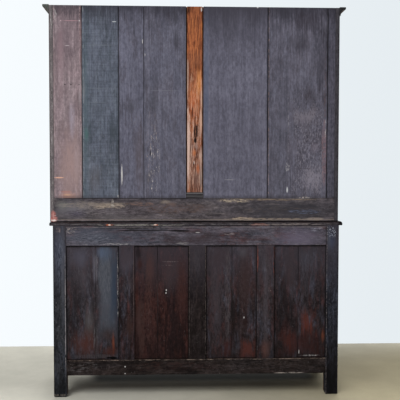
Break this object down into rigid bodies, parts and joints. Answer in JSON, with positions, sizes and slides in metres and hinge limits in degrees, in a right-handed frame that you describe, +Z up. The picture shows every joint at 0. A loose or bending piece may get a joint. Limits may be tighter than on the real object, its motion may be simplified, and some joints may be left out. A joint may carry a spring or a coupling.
{
  "type": "pot board dresser",
  "caption": "Pot board dresser: a plate rack with shelves and a plank back, on a panelled base with drawers above an open pot board and turned front legs.",
  "frame": {"origin": "on the floor, below the middle of the plate rack and halfway through the depth", "axes": "+Z up; the front faces -Y and the back +Y; +X is the right side seen from the front"},
  "size_m": [1.507, 0.46, 1.959],
  "materials": {
    "base_wood": "dark stained oak, worn to paler arrises",
    "panel_wood": "dark red-brown stained boards, unpolished",
    "rack_wood": "dark stained oak, waxed",
    "painted_board": "thin weathered blue-grey paint on planks",
    "mauve_board": "thin weathered mauve paint on a plank",
    "raw_post": "raw softwood, unpainted",
    "inner_wood": "unfinished pine, darkened with age",
    "brass": "cast brass, dulled"
  },
  "bodies": {
    "dresser": {"back_board_1": "mauve_board", "back_board_2": "painted_board", "back_board_3": "painted_board", "back_board_4": "painted_board", "back_board_5": "painted_board", "back_board_6": "painted_board", "back_board_7": "painted_board", "back_bottom_rail": "base_wood", "back_muntin_1": "base_wood", "back_muntin_2": "base_wood", "back_muntin_3": "base_wood", "back_panel_1": "panel_wood", "back_panel_2": "panel_wood", "back_panel_3": "panel_wood", "back_panel_4": "panel_wood", "back_top_rail": "base_wood", "base_top_front_board": "base_wood", "base_top_rear_board": "base_wood", "centre_post": "raw_post", "cornice_front": "rack_wood", "cornice_left": "rack_wood", "cornice_right": "rack_wood", "drawer_bearers": "inner_wood", "drawer_divider_left": "base_wood", "drawer_divider_right": "base_wood", "end_board_left": "base_wood", "end_board_right": "base_wood", "frieze_board": "rack_wood", "front_apron": "base_wood", "front_drawer_rail": "base_wood", "front_leg_left": "base_wood", "front_leg_right": "base_wood", "front_top_rail": "base_wood", "post_packing_block": "inner_wood", "pot_board_rails": "base_wood", "pot_boards": "base_wood", "rack_bottom_rail": "painted_board", "rack_side_left": "rack_wood", "rack_side_right": "rack_wood", "rack_top_board": "rack_wood", "rear_post_left": "base_wood", "rear_post_right": "base_wood", "shelf_lower": "rack_wood", "shelf_middle": "rack_wood", "shelf_upper": "rack_wood"},
    "drawer_left": {"drawer_left_box": "inner_wood", "drawer_left_front": "base_wood", "drawer_left_handle_mount": "brass"},
    "bail_left": {"drawer_left_bail": "brass"},
    "drawer_middle": {"drawer_middle_box": "inner_wood", "drawer_middle_front": "base_wood", "drawer_middle_handle_mount": "brass"},
    "bail_middle": {"drawer_middle_bail": "brass"},
    "drawer_right": {"drawer_right_box": "inner_wood", "drawer_right_front": "base_wood", "drawer_right_handle_mount": "brass"},
    "bail_right": {"drawer_right_bail": "brass"}
  },
  "joints": [
    {"name": "drawer_left_slide", "type": "slide", "parent": "dresser", "child": "drawer_left", "axis": [0, -1, 0], "range_m": [0, 0.3]},
    {"name": "bail_left_swing", "type": "hinge", "parent": "drawer_left", "child": "bail_left", "pos_m": [-0.45567, -0.2213, 0.788], "axis": [-1, 0, 0], "range_deg": [0, 100]},
    {"name": "drawer_middle_slide", "type": "slide", "parent": "dresser", "child": "drawer_middle", "axis": [0, -1, 0], "range_m": [0, 0.3]},
    {"name": "bail_middle_swing", "type": "hinge", "parent": "drawer_middle", "child": "bail_middle", "pos_m": [-0.009, -0.2213, 0.788], "axis": [-1, 0, 0], "range_deg": [0, 100]},
    {"name": "drawer_right_slide", "type": "slide", "parent": "dresser", "child": "drawer_right", "axis": [0, -1, 0], "range_m": [0, 0.3]},
    {"name": "bail_right_swing", "type": "hinge", "parent": "drawer_right", "child": "bail_right", "pos_m": [0.43767, -0.2213, 0.788], "axis": [-1, 0, 0], "range_deg": [0, 100]}
  ]
}
